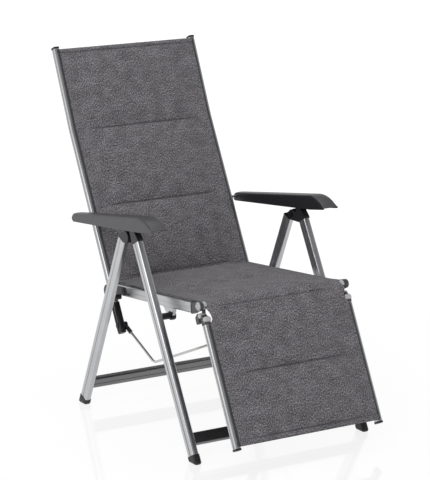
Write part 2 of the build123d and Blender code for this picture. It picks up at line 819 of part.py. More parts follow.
# Padded fabric, a thin sheet whose channels swell between the seams
def panel(route_point, unit, seams, sheet_bounds):
    """Sheet on the rails' upper faces with one pillow between each pair of seams.

    route_point is a point on the rails' upper face line, distances run along unit, and the
    fabric's outer side lies to the left of the direction of travel as seen from +X.
    """
    half = rail_half_spacing - sheet_edge_gap
    start, end = sheet_bounds
    middle = along(route_point, unit, 0.0, -(seat_gap + sheet_thickness / 2))
    sheet = block_side(middle, unit, start, end, sheet_thickness, half)
    pad_half = rail_inner - pad_side_inset
    body = sheet
    for low, high in zip(seams[:-1], seams[1:]):
        body += pillow(middle, unit, low, high, pad_half)
    return body


def narrow_sheet(route_point, unit, start, end, half):
    middle = along(route_point, unit, 0.0, -(seat_gap + sheet_thickness / 2))
    return block_side(middle, unit, start, end, sheet_thickness, half)


def block_side(middle, unit, start, end, thickness, half):
    corners = [
        along(middle, unit, start, -thickness / 2), along(middle, unit, end, -thickness / 2),
        along(middle, unit, end, thickness / 2), along(middle, unit, start, thickness / 2),
    ]
    return side_face(Polygon(*corners, align=None), -half, half)


def pillow(middle, unit, low, high, half):
    """Channel of padding: lens-shaped along the panel and across it, sewn down at its rim."""
    rim = sheet_thickness / 2
    mid = (low + high) / 2
    a, b = along(middle, unit, low, -rim), along(middle, unit, high, -rim)
    c, d = along(middle, unit, high, rim), along(middle, unit, low, rim)
    lens = make_face(Curve() + [
        ThreePointArc(a, along(middle, unit, mid, -rim - pad_crown), b), Line(b, c),
        ThreePointArc(c, along(middle, unit, mid, rim + pad_back_crown), d), Line(d, a),
    ])
    body = side_face(lens, -half, half)
    place = Plane(
        origin=(0, *along(middle, unit, low - overrun)), x_dir=(1, 0, 0), z_dir=(0, unit[0], unit[1])
    )
    across = make_face(Curve() + [
        ThreePointArc((-half, -rim), (0, -rim - 2 * pad_crown), (half, -rim)),
        Line((half, -rim), (half, rim)),
        ThreePointArc((half, rim), (0, rim + 2 * pad_back_crown), (-half, rim)),
        Line((-half, rim), (-half, -rim)),
    ])
    return body & extrude(place * across, amount=high - low + 2 * overrun)


back_face = along(hinge, back_up, 0.0, -rail_depth / 2)
bend_face = along(back_bend, back_top_up, -back_lower_length, -rail_depth / 2)
upper_end = back_lower_length + back_upper_length - back_pad_top_setback
low_seam, high_seam = back_pad_low_seam, back_lower_length
lower_panel = panel(
    back_face, back_up, (back_pad_start + hem_gap, low_seam, high_seam), (back_pad_start, high_seam)
)
upper_panel = panel(
    bend_face, back_top_up, (high_seam, upper_end - hem_gap), (high_seam, upper_end)
)
save("back_pad", lower_panel + upper_panel)

seat_face = along(seat_front, seat_back, 0.0, -seat_rail_depth / 2)
seat_run = (hinge[0] - seat_pad_rear_lead - seat_face[0]) / seat_back[0]
knee_run = (knee_y - seat_face[0]) / seat_back[0]
seat_panel = panel(
    seat_face, seat_back,
    (knee_run + seat_knee_seam_distance, seat_seam_distance, seat_run - hem_gap),
    (sheet_edge_gap, seat_run),
)
seat_panel += narrow_sheet(
    seat_face, seat_back, knee_run - sheet_edge_gap, sheet_edge_gap, knee_half
)


def knee_wrap():
    """Fabric bent over the knee axle, on from the seat's sheet."""
    start = along(seat_face, seat_back, knee_run, -seat_gap)
    inner = math.dist(start, knee)
    first = math.degrees(math.atan2(start[1] - knee[1], start[0] - knee[0]))
    angles = [math.radians(first + knee_wrap_angle * share) for share in (0.0, 0.5, 1.0)]
    low = [(knee[0] + inner * math.cos(t), knee[1] + inner * math.sin(t)) for t in angles]
    outer = inner + sheet_thickness
    high = [(knee[0] + outer * math.cos(t), knee[1] + outer * math.sin(t)) for t in angles]
    face = make_face(Curve() + [
        ThreePointArc(*low), Line(low[2], high[2]), ThreePointArc(*reversed(high)),
        Line(high[0], low[0]),
    ])
    return side_face(face, -knee_half, knee_half)


save("seat_pad", seat_panel + knee_wrap())

foot_face = along(knee, footrest_up, 0.0, -rail_depth / 2)
foot_end = footrest_rail_end - footrest_pad_setback
foot_start = footrest_rail_start + sheet_edge_gap
footrest_panel = panel(
    foot_face, footrest_up,
    (-foot_end + footrest_hem_gap, -footrest_seam_distance, -footrest_rail_start),
    (-foot_end, -foot_start),
)
footrest_panel += narrow_sheet(foot_face, footrest_up, -foot_start, -footrest_pad_start, knee_half)
save("footrest_pad", footrest_panel)
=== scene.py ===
import bpy
import json
import math
import bmesh
import numpy as np
from mathutils import Matrix, Vector
from types import SimpleNamespace


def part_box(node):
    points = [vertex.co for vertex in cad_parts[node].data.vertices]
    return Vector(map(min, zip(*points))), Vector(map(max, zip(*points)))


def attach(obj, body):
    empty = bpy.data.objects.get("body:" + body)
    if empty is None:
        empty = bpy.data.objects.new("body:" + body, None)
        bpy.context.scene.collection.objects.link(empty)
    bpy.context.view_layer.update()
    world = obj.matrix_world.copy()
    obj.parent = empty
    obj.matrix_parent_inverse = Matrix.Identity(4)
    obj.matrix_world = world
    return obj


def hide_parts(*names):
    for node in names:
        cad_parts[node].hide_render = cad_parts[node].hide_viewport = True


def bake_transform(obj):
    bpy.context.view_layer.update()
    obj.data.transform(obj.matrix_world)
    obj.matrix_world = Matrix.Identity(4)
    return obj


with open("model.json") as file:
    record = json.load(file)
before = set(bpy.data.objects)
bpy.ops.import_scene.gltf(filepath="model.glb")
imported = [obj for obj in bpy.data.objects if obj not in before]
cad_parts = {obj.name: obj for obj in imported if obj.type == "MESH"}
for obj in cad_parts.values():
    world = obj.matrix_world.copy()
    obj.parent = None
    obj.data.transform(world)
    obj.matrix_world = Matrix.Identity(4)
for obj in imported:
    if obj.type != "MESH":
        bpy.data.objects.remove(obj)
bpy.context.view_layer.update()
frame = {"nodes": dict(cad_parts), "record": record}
print("frame loaded:", len(frame["nodes"]), "nodes")

# Places in the side view are (Y, Z) in metres. They are measured from a point on the floor
# that lies this far behind the middle of the chair.
shiftY = 0.0523382


def spot(y, z):
    # side-view place from a distance behind that point and a height
    return np.array([y - shiftY, z])


def leanUp(degrees):
    # unit vector that rises toward +Y by this lean from the vertical
    return np.array([math.sin(math.radians(degrees)), math.cos(math.radians(degrees))])


chair = SimpleNamespace(
    hinge=spot(0.240, 0.383),  # axis on which the back turns
    knee=spot(-0.298, 0.459),  # axis on which the leg rest turns
    pegAlong=0.248,  # from the hinge up the back to the armrest's peg
    backLean=28.2,
    backTopLean=24.4,  # the back above its bend stands a little steeper
    footLean=27.4,
    seatFront=spot(-0.262, 0.4452),  # ends of the seat rails' middle line
    seatRear=spot(0.206, 0.3972),
    sheetHalf=0.248,  # half the width of the cloth
)
backUp = leanUp(chair.backLean)
backTopUp = leanUp(chair.backTopLean)
footUp = leanUp(chair.footLean)
armPeg = chair.hinge + chair.pegAlong * backUp
seatRun = chair.seatRear - chair.seatFront
seatBack = seatRun / np.linalg.norm(seatRun)


# Mesh helpers
def gridFaces(rows, columns, start=0, closedColumns=False, flip=False):
    # quads between neighbouring rows and columns of a point grid, as one index array
    j = np.arange(columns if closedColumns else columns - 1)
    i = np.arange(rows - 1)[:, None]
    k = (j + 1) % columns
    a, b = i * columns + j, i * columns + k
    c, d = (i + 1) * columns + k, (i + 1) * columns + j
    quads = np.stack([a, b, c, d], axis=-1).reshape(-1, 4) + start
    return quads[:, ::-1] if flip else quads


def addObject(name, data):
    # an object with this data at the origin of the scene
    made = bpy.data.objects.new(name, data)
    bpy.context.scene.collection.objects.link(made)
    return made


def buildPiece(name, points, faces, finish, uv=None):
    # a smooth shaded mesh object at the origin from an array of points and lists of corners
    mesh = bpy.data.meshes.new(name)
    mesh.from_pydata(points.reshape(-1, 3).tolist(), [], faces)
    mesh.polygons.foreach_set("use_smooth", np.ones(len(mesh.polygons), dtype=bool))
    if uv is not None:
        loops = np.zeros(len(mesh.loops), dtype=np.int32)
        mesh.loops.foreach_get("vertex_index", loops)
        layer = mesh.uv_layers.new(name="cloth")
        layer.data.foreach_set("uv", uv.reshape(-1, 2)[loops].ravel())
    mesh.materials.append(finish)
    mesh.update()
    return addObject(name, mesh)


def facingOut(piece):
    # turns every face outward on a closed mesh whose winding may be reversed as a whole
    work = bmesh.new()
    work.from_mesh(piece.data)
    bmesh.ops.recalc_face_normals(work, faces=work.faces)
    work.to_mesh(piece.data)
    work.free()


def roundEdges(piece, width, turn=30.0):
    # small bevel on every edge that turns by more than this angle
    edge = piece.modifiers.new("edge", "BEVEL")
    edge.width = width
    edge.segments = 2
    edge.angle_limit = math.radians(turn)


def addWall(piece, thickness):
    # gives an open surface its thickness, inward from the drawn face
    wall = piece.modifiers.new("wall", "SOLIDIFY")
    wall.thickness = thickness
    wall.offset = -1.0
    wall.use_rim = True


def carry(piece, body):
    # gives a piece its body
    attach(piece, body)


def smooth(t):
    # eased step: three t squared less two t cubed, held to zero and one outside
    t = np.clip(t, 0.0, 1.0)
    return t * t * (3.0 - 2.0 * t)


# Node helpers. A kit is the pair of a tree's nodes and links. Most helpers give the socket to
# link onward.
def newMaterial(name):
    # a material with its kit and its shader
    material = bpy.data.materials.new(name)
    material.use_nodes = True
    tree = material.node_tree
    return material, (tree.nodes, tree.links), tree.nodes["Principled BSDF"]


def feed(kit, value, socket):
    # links an output to a socket, or sets a plain value on it
    if isinstance(value, bpy.types.NodeSocket):
        kit[1].new(value, socket)
    else:
        socket.default_value = value


def feedNode(kit, node, **values):
    # feeds inputs by name; an underscore in a name stands for a space
    for key, value in values.items():
        feed(kit, value, node.inputs[key.replace("_", " ")])
    return node


def newNode(kit, kind, settings=None, **values):
    # a node of this kind with its settings made and its inputs fed
    node = kit[0].new("ShaderNode" + kind)
    for key, value in (settings or {}).items():
        setattr(node, key, value)
    return feedNode(kit, node, **values)


def calculate(kit, operation, *values):
    # one operation on two or three numbers
    node = newNode(kit, "Math", {"operation": operation})
    for value, socket in zip(values, node.inputs):
        feed(kit, value, socket)
    return node.outputs[0]


def noise(kit, place, scale, detail=2.0, roughness=0.5):
    # soft random pattern from zero to one
    node = newNode(kit, "TexNoise", Scale=scale, Detail=detail, Roughness=roughness, Vector=place)
    return node.outputs["Fac"]


def stretched(kit, place, scale):
    # a place multiplied by a number of its own along each axis
    return newNode(kit, "Mapping", Scale=scale, Vector=place).outputs["Vector"]


def spread(kit, value, low, high, fromLow=0.0, fromHigh=1.0):
    # straight line through two points: fromLow gives low and fromHigh gives high, held outside
    node = newNode(kit, "MapRange", Value=value, From_Min=fromLow, From_Max=fromHigh,
                   To_Min=low, To_Max=high)
    return node.outputs["Result"]


def ramp(kit, share, stops):
    # colour read from stops of a place and a colour
    node = newNode(kit, "ValToRGB", Fac=share)
    elements = node.color_ramp.elements
    while len(elements) < len(stops):
        elements.new(0.5)
    for element, (place, colour) in zip(elements, stops):
        element.position = place
        element.color = (*colour, 1.0)
    return node.outputs["Color"]


def mixColours(kit, share, first, second):
    # from the first colour at zero to the second at one
    node = newNode(kit, "Mix", {"data_type": "RGBA"}, Factor=share, A=first, B=second)
    return node.outputs["Result"]


def axisPart(kit, vector, axis):
    # one part of a vector
    return newNode(kit, "SeparateXYZ", Vector=vector).outputs[axis]


def relief(kit, height, strength, depth):
    # small relief under the light
    return newNode(kit, "Bump", Strength=strength, Distance=depth, Height=height).outputs["Normal"]


# Finishes
metalLook = SimpleNamespace(
    streaks=(900, 40, 12),  # fine drawn streaks, much longer than they are wide
    cloud=9.0,
    tones=(0.94, 1.04),  # darkest and lightest share of the colour
    wander=(-0.05, 0.06),  # how far the roughness goes down and up
    relief=(0.08, 0.0004),
)


def cloudStops(colour, tones, places=(0.3, 0.7)):
    # a darker and a lighter share of the colour, for the cloud's low and high parts
    return [(place, tuple(tone * c for c in colour)) for place, tone in zip(places, tones)]


def wander(kit, pattern, middle, changes):
    # the middle value with a change added that follows a pattern from the first to the second
    return spread(kit, pattern, middle + changes[0], middle + changes[1])


def aluminium(name, colour, roughness):
    # satin metal: fine streaks drive the roughness and the relief, a soft cloud the tone
    look = metalLook
    material, kit, shader = newMaterial(name)
    place = newNode(kit, "TexCoord").outputs["Object"]
    streaks = noise(kit, stretched(kit, place, look.streaks), 1.0, 3.0)
    tone = ramp(kit, noise(kit, place, look.cloud), cloudStops(colour, look.tones))
    gloss = wander(kit, streaks, roughness, look.wander)
    feedNode(kit, shader, Base_Color=tone, Roughness=gloss, Metallic=1.0,
             Normal=relief(kit, streaks, *look.relief))
    return material


plasticLook = SimpleNamespace(
    cloud=14.0,
    tones=(0.9, 1.08),
    wander=(-0.05, 0.05),
    reliefDepth=0.0005,
)


def plastic(name, colour, roughness, grain=1400.0, strength=0.16, gloss=0.5):
    # moulded plastic: a fine grain drives the relief, a soft cloud the tone and the roughness
    look = plasticLook
    material, kit, shader = newMaterial(name)
    place = newNode(kit, "TexCoord").outputs["Object"]
    cloud = noise(kit, place, look.cloud, 3.0)
    tone = ramp(kit, cloud, cloudStops(colour, look.tones))
    feedNode(kit, shader, Base_Color=tone, Roughness=wander(kit, cloud, roughness, look.wander),
             Specular_IOR_Level=gloss,
             Normal=relief(kit, noise(kit, place, grain), strength, look.reliefDepth))
    return material


innerShadeLook = SimpleNamespace(
    tone=(0.010, 0.010, 0.012, 1),
    products=(-0.09, -0.15),  # painted shade: black comes in between these two
)


def innerShadePaint(material):
    # painted shade: the side that faces the middle of the chair is coloured black for the shade
    # there. The product of the place across the chair and the face's sideways direction is negative
    # there
    tree = material.node_tree
    kit = (tree.nodes, tree.links)
    colour = tree.nodes["Principled BSDF"].inputs["Base Color"]
    outer = colour.links[0].from_socket
    place = axisPart(kit, newNode(kit, "TexCoord").outputs["Object"], "X")
    facing = axisPart(kit, newNode(kit, "NewGeometry").outputs["Normal"], "X")
    product = calculate(kit, "MULTIPLY", place, facing)
    share = spread(kit, product, 0.0, 1.0, *innerShadeLook.products)
    feed(kit, mixColours(kit, share, outer, innerShadeLook.tone), colour)
    return material


clothLook = SimpleNamespace(
    flecks=(400, 210, 1),  # how fine the flecks are across and along the cloth
    threads=(900, 260, 1),
    rough=0.60,  # how broken up both are
    drift=26.0,  # slow change of tone over the cloth
    shares=(0.62, 0.28, 0.10),  # weight of flecks, threads and drift
    tones=(
        (0.40, (0.022, 0.021, 0.0225)), (0.47, (0.067, 0.064, 0.069)),
        (0.53, (0.119, 0.1135, 0.122)), (0.60, (0.245, 0.235, 0.251)),
    ),
    edgeBand=(0.2422, 0.2434),  # the dark band along the side edges starts between these distances from the middle
    edgeBandTone=(0.035, 0.034, 0.037, 1),
    seamShadeShare=0.62,  # how far the painted shade in a seam goes to its dark tone
    seamShadeTone=(0.022, 0.021, 0.023, 1),
    stitchWave=55.0,
    stitchHighlightTone=(0.26, 0.25, 0.27, 1),
    roughness=0.92,
    sheen=(0.06, 0.6),  # weight and roughness of the fuzz's sheen
    gloss=0.12,
    weave=(240, 240, 1),
    weaveWander=1.5,
    weaveShare=0.5,
    relief=(0.35, 0.0006),
)


def melangeCloth(name):
    # mottled woven cloth: weighted sum of flecks, threads and drift read as a tone, with a dark
    # band along both side edges, painted shade in the seams and short pale stitches on the seams,
    # lightened to stand for the seams' highlight as well
    look = clothLook
    material, kit, shader = newMaterial(name)
    place = newNode(kit, "UVMap", {"uv_map": "cloth"}).outputs["UV"]
    flecks = noise(kit, stretched(kit, place, look.flecks), 1.0, 2.0, look.rough)
    threads = noise(kit, stretched(kit, place, look.threads), 1.0, 2.0, look.rough)
    drift = noise(kit, place, look.drift)
    fleckShare, threadShare, driftShare = look.shares
    mottle = calculate(kit, "MULTIPLY_ADD", flecks, fleckShare, spread(kit, threads, 0.0, threadShare))
    mottle = calculate(kit, "ADD", mottle, spread(kit, drift, 0.0, driftShare))
    # darker along both side edges, next to the rails
    aside = calculate(kit, "ABSOLUTE", axisPart(kit, place, "X"))
    edgeBand = spread(kit, aside, 0.0, 1.0, *look.edgeBand)
    tone = mixColours(kit, edgeBand, ramp(kit, mottle, look.tones), look.edgeBandTone)
    # painted shade: the tone darkens toward the seam shade tone in each seam's groove
    seamShade = newNode(kit, "Attribute", {"attribute_name": "seamShade"}).outputs["Fac"]
    tone = mixColours(kit, spread(kit, seamShade, 0.0, look.seamShadeShare), tone, look.seamShadeTone)
    # pale stitch dashes: real stitching, lightened to carry a painted highlight along the seam too
    seam = newNode(kit, "Attribute", {"attribute_name": "stitchHighlight"}).outputs["Fac"]
    dashes = newNode(kit, "TexWave", {"bands_direction": "X"}, Scale=look.stitchWave, Vector=place)
    sewn = calculate(kit, "MULTIPLY", seam, dashes.outputs["Fac"])
    tone = mixColours(kit, sewn, tone, look.stitchHighlightTone)
    weave = newNode(kit, "TexWave", Scale=1.0, Distortion=look.weaveWander, Detail=1.0,
                    Vector=stretched(kit, place, look.weave))
    height = calculate(kit, "MULTIPLY_ADD", weave.outputs["Fac"], look.weaveShare, threads)
    sheen, sheenRoughness = look.sheen
    feedNode(kit, shader, Base_Color=tone, Roughness=look.roughness, Sheen_Weight=sheen,
             Sheen_Roughness=sheenRoughness, Specular_IOR_Level=look.gloss,
             Normal=relief(kit, height, *look.relief))
    return material


finishes = {
    "frame_aluminium": aluminium("satinAluminium", (0.50, 0.505, 0.515), 0.30),
    # painted shade: the stretchers' slot gets a much darker copy of the satin aluminium for the shade
    # under the seat
    "graphite_aluminium": aluminium("shadedStretcherAluminium", (0.19, 0.19, 0.195), 0.34),
    "black_plastic": plastic("blackPlastic", (0.012, 0.012, 0.014), 0.40, gloss=0.35),
    # the armrest plastic carries painted shade on the side that faces the middle of the chair
    "grey_plastic": innerShadePaint(plastic("armrestPlastic", (0.050, 0.048, 0.052), 0.40, gloss=0.3)),
    "hinge_plastic": plastic("hingePlastic", (0.040, 0.040, 0.042), 0.34, 900.0, 0.05, 0.35),
    "steel": aluminium("zincSteel", (0.56, 0.56, 0.55), 0.20),
    "melange_fabric": melangeCloth("melangeCloth"),
}
darkSteel = aluminium("blackenedSteel", (0.045, 0.045, 0.048), 0.35)
# painted highlight: a much lighter copy of the hinge plastic for the caps, eyes and ribs
hingeHighlightPaint = plastic("hingeHighlightPaint", (0.30, 0.30, 0.31), 0.22, 900.0, 0.05, 0.8)
darkBolts = ("leg_pivot_bolts", "back_rod_bolts", "back_hinge_bolts", "seat_pivot_bolts")
slotOfNode = {row["node"]: row["material_slot"] for row in frame["record"]["subparts"]}
for nodeName, nodeObject in frame["nodes"].items():
    finish = darkSteel if nodeName in darkBolts else finishes[slotOfNode[nodeName]]
    nodeObject.data.materials.clear()
    nodeObject.data.materials.append(finish)
print("materials ready")

# Padded cloth
clothPlan = SimpleNamespace(
    rim=0.0015,  # half the thickness of the bare cloth
    rimRound=0.002,  # the edges are rounded over this width
    rimLeast=0.02,  # keeps the two layers just apart at the very edge
    crown=0.0050,  # how far a channel swells outward
    backCrown=0.0065,  # how far it swells toward the frame
    arch=(3.2, 0.75),  # flatness and roundness of the swell between two seams
    shoulder=0.0056,  # extra swell that rises steeply beside each seam
    shoulderRun=0.0042,  # length over which it rises
    hemRoll=0.0032,  # swell of the turned-over hem past the last seam
    backShare=0.5,  # the back layer has this share of the roll and the grooves
    padHalf=0.197,  # half the width of the padding
    padFade=0.050,  # the padding thins out over this width
    seamReach=0.203,  # inner seams end this far from the middle
    seamFade=0.006,
    seamDepth=0.0010,
    seamHalf=0.0030,
    seamPower=1.5,  # sharpness of the groove
    stitchHalf=0.0009,  # half the width of the pale stitch line, which also carries the seam's painted highlight
    seamShadeHalf=0.0030,  # and of the painted shade in the seam
    hemZone=0.008,  # a hem's seam runs full width this near to its line
    pucker=0.0009,  # small waves that die out away from a seam
    puckerWave=0.021,
    puckerDrift=(2.0, 31.0, 9.0),  # how far the waves wander, how fast across and along
    puckerReach=0.014,
    puckerClear=0.003,  # the seam itself stays straight
    settleFrom=0.004,  # the cloth is free to settle past this distance from a seam
    settleRun=0.022,
    step=0.006,  # mesh size along the cloth
    acrossStep=0.0075,  # and across it
    acrossPower=0.92,  # columns lie a little closer at the edges
    seamRows=(0.0, 0.0009, 0.0018, 0.0030, 0.0045, 0.0065),  # extra rows off a seam
    endRow=0.001,  # and off both ends
    leastStep=0.0005,  # rows closer than this are left out
)


def lengthStations(start, end, seams):
    # even steps along the cloth with extra rows close to every seam
    plan = clothPlan
    count = int(round((end - start) / plan.step)) + 1
    even = np.linspace(start, end, count)
    near = np.array(plan.seamRows)
    extra = (np.array(seams)[:, None] + np.concatenate([-near, near])).ravel()
    rows = np.concatenate([even, extra, [start + plan.endRow, end - plan.endRow]])
    rows = np.unique(np.round(rows[(rows >= start) & (rows <= end)], 5))
    keep = np.concatenate([[True], np.diff(rows) > plan.leastStep])
    return rows[keep]


def channelHeight(along, seams):
    # swell along the length: zero on each seam, a flat-topped arch between two seams
    flat, power = clothPlan.arch
    arch = np.zeros_like(along)
    for low, high in zip(seams[:-1], seams[1:]):
        t = (along - low) / (high - low)
        swell = np.clip(1.0 - np.abs(2.0 * t - 1.0) ** flat, 0.0, 1.0) ** power
        arch = np.where((t > 0) & (t < 1), swell, arch)
    return arch


def nearness(distance, reach):
    # one on a line, falling straight to zero at the reach
    return np.clip(1.0 - distance / reach, 0.0, 1.0)


def clothLayers(along, wide, half, ends, seams, stitched, full):
    # heights of the front and the back layer over the middle line, and three shares kept on
    # the cloth. Front: rim, crown, shoulders, hem's roll and puckers added up, less the
    # seams' grooves. Back: its own crown, and a share of the roll and the grooves
    plan = clothPlan
    start, end = ends
    gap = np.min([np.abs(along - line) for line in seams + stitched], axis=0)
    fade = smooth((plan.padHalf - np.abs(wide)) / plan.padFade)
    arch = channelHeight(along, seams) * full * fade
    sewn = smooth((plan.seamReach - np.abs(wide)) / plan.seamFade)
    for line in stitched:
        sewn = np.where(np.abs(along - line) < plan.hemZone, 1.0, sewn)
    groove = plan.seamDepth * nearness(gap, plan.seamHalf) ** plan.seamPower * sewn
    sway, acrossRate, alongRate = plan.puckerDrift
    drift = sway * np.sin(wide * acrossRate + along * alongRate)
    pucker = plan.pucker * np.sin(2 * math.pi * wide / plan.puckerWave + drift) * sewn
    pucker *= np.exp(-gap / plan.puckerReach) * np.clip(gap / plan.puckerClear, 0.0, 1.0)
    edge = np.minimum(np.minimum(along - start, end - along), half - np.abs(wide))
    rim = np.clip(1.0 - nearness(edge, plan.rimRound) ** 2, plan.rimLeast, 1)
    rim = plan.rim * np.sqrt(rim)
    padded = (along > seams[0]) & (along < seams[-1])
    shoulder = plan.shoulder * (1 - np.exp(-gap / plan.shoulderRun)) * fade * full * padded
    past = np.clip((along - seams[-1]) / (end - seams[-1]), 0.0, 1.0)
    roll = plan.hemRoll * np.sqrt(np.clip(1.0 - (2.0 * past - 1.0) ** 2, 0.0, 1.0)) * (past > 0)
    front = rim + plan.crown * arch + shoulder + roll - groove + pucker
    back = rim + plan.backCrown * arch + plan.backShare * (roll - groove)
    kept = {
        "stitchHighlight": nearness(gap, plan.stitchHalf) * sewn,
        # share of the seams' painted shade
        "seamShade": nearness(gap, plan.seamShadeHalf) * sewn,
        "free": fade * smooth((gap - plan.settleFrom) / plan.settleRun) * padded,
    }
    return front, back, kept


def paddedPanel(name, route, ends, seams, stitched, halfWidth, fullness):
    # two cloth layers over a side-view route: a distance along it and a place across it; the
    # layers part between the seams and meet at the edges
    stations = lengthStations(*ends, seams + stitched)
    columns = int(round(2 * chair.sheetHalf / clothPlan.acrossStep)) + 1
    share = np.linspace(-1.0, 1.0, columns)
    share = np.sign(share) * np.abs(share) ** clothPlan.acrossPower
    along, share = np.meshgrid(stations, share, indexing="ij")
    half = halfWidth(along)
    wide = share * half
    place, normal = route(along)
    front, back, kept = clothLayers(along, wide, half, ends, seams, stitched, fullness(along))
    outer = np.stack([wide, place[0] + normal[0] * front, place[1] + normal[1] * front], axis=-1)
    inner = np.stack([wide, place[0] - normal[0] * back, place[1] - normal[1] * back], axis=-1)
    rows, count = len(stations), along.size
    index = np.arange(count).reshape(rows, columns)
    border = np.concatenate([index[0, :], index[1:, -1], index[-1, -2::-1], index[-2:0:-1, 0]])
    after = np.roll(border, -1)
    rim = np.stack([border, border + count, after + count, after], axis=-1)
    quads = np.concatenate([
        gridFaces(rows, columns, 0), gridFaces(rows, columns, count, flip=True), rim,
    ])
    uv = np.stack([wide, along], axis=-1)
    points = np.concatenate([outer.reshape(-1, 3), inner.reshape(-1, 3)])
    piece = buildPiece(
        name, points, quads.tolist(), finishes["melange_fabric"], np.concatenate([uv, uv]))
    for label, value in kept.items():
        layer = piece.data.attributes.new(label, "FLOAT", "POINT")
        layer.data.foreach_set("value", np.tile(value.ravel(), 2).astype(np.float32))
    facingOut(piece)
    return piece


# Relaxing of the padded cloth
settlePlan = SimpleNamespace(
    frames=18,
    quality=6,
    mass=0.35,
    pressure=2.5,
    slack=0.012,  # share by which the cloth is too long
    bending=0.6,
    reach=0.0030,  # no point moves further than this
    levels=8,  # steps in how firmly a point is pinned
    fadeIn=4.0,  # how soon the movement reaches its full share
)


def pinCloth(piece, free):
    # a vertex group whose weight rises in steps as a point's freedom falls; gives the group
    plan = settlePlan
    pinned = piece.vertex_groups.new(name="pinned")
    level = np.round((1.0 - free) * plan.levels).astype(int)
    for step in range(1, plan.levels + 1):
        pinned.add(np.flatnonzero(level == step).tolist(), step / plan.levels, "REPLACE")
    return pinned


def relaxedPoints(piece, pinned):
    # the points after the cloth simulation has run all its frames
    plan = settlePlan
    work = piece.modifiers.new("settle", "CLOTH")
    work.settings.vertex_group_mass = pinned.name
    work.settings.quality = plan.quality
    work.settings.mass = plan.mass
    work.settings.use_pressure = True
    work.settings.uniform_pressure_force = plan.pressure
    work.settings.shrink_min = -plan.slack
    work.settings.bending_stiffness = plan.bending
    work.settings.effector_weights.gravity = 0.0
    work.collision_settings.use_collision = False
    work.collision_settings.use_self_collision = False
    work.point_cache.frame_start = 1
    work.point_cache.frame_end = plan.frames
    scene = bpy.context.scene
    for moment in range(1, plan.frames + 1):
        scene.frame_set(moment)
    shaped = piece.evaluated_get(bpy.context.evaluated_depsgraph_get())
    points = np.zeros(len(piece.data.vertices) * 3)
    shaped.to_mesh().vertices.foreach_get("co", points)
    shaped.to_mesh_clear()
    piece.modifiers.remove(work)
    scene.frame_set(1)
    return points


def settleCloth(piece):
    # relaxes the padded side: seams, edges and underside stay put, the cloth between them is
    # a little too long and pushed out. Each point takes the simulation's move, cut to the
    # reach and faded by its freedom
    plan = settlePlan
    mesh = piece.data
    count = len(mesh.vertices)
    free = np.zeros(count, dtype=np.float32)
    mesh.attributes["free"].data.foreach_get("value", free)
    free[count // 2:] = 0.0
    pinned = pinCloth(piece, free)
    before = np.zeros(count * 3)
    mesh.vertices.foreach_get("co", before)
    move = (relaxedPoints(piece, pinned) - before).reshape(-1, 3)
    piece.vertex_groups.remove(pinned)
    length = np.linalg.norm(move, axis=1)[:, None]
    move *= np.minimum(1.0, plan.reach / np.maximum(length, 1e-9))
    move *= np.minimum(free * plan.fadeIn, 1.0)[:, None]
    mesh.vertices.foreach_set("co", before + move.ravel())
    mesh.update()
    print("settled", piece.name)


# Back: straight up the rails, a gentle bend, straight to the hem
backPlan = SimpleNamespace(
    lift=0.0138,  # height of the cloth's middle over the rails' middle line
    bendAt=0.531,
    bendRun=0.060,
    start=0.016,
    end=0.7900,
    seams=(0.034, 0.2675, 0.5213, 0.7755),
)


def backRoute(along):
    # middle line of the back cloth: two straight runs, and between them an eased change of lean
    bendAt = backPlan.bendAt
    turn = smooth((along - bendAt) / backPlan.bendRun + 0.5)
    up = [backUp[k] * (1 - turn) + backTopUp[k] * turn for k in (0, 1)]
    below, above = np.minimum(along, bendAt), np.maximum(along - bendAt, 0.0)
    normal = (-up[1], up[0])
    place = [
        chair.hinge[k] + backUp[k] * below + backTopUp[k] * above + normal[k] * backPlan.lift
        for k in (0, 1)
    ]
    return place, normal


backCloth = paddedPanel(
    "back_cloth", backRoute, (backPlan.start, backPlan.end), backPlan.seams,
    backPlan.seams[-1:], lambda along: chair.sheetHalf + 0 * along, np.ones_like,
)
settleCloth(backCloth)

# Seat and leg rest: one cloth over the knee axle
seatPlan = SimpleNamespace(
    seatLift=0.0188,  # height of the cloth's middle over the seat rails' middle line
    footLift=0.0138,  # and over the leg rest's
    rear=0.491,  # from the seat's front back to the cloth's rear edge
    front=-0.020,  # and to the start of the bend
    footTop=0.030,  # from the knee down to the end of the bend
    footEnd=0.4245,  # and to the hem
    pull=(0.022, 0.026),  # reach of the bend's two control points
    straightRows=120,
    bendRows=60,
    rearSeam=0.014,
    seatSeam=(0.190, 0.018),  # from the seat's front, back along it and straight up
    kneeCrease=spot(-0.3105, 0.456),
    kneeSeamPast=0.004,
    footSeams=(0.2158, 0.4093),  # from the knee down
    kneeHalf=0.2330,  # half the width between the knee fittings
    kneeOver=0.0060,  # how much it is wider just above them
    widens=(-0.085, 0.030),  # start past the knee's seam, and length, of each change of width
    narrows=(-0.026, 0.056),
    widensAgain=(0.034, 0.018),
    kneeThin=(0.55, 0.045),  # how far the padding is pulled flat there, over which length
)


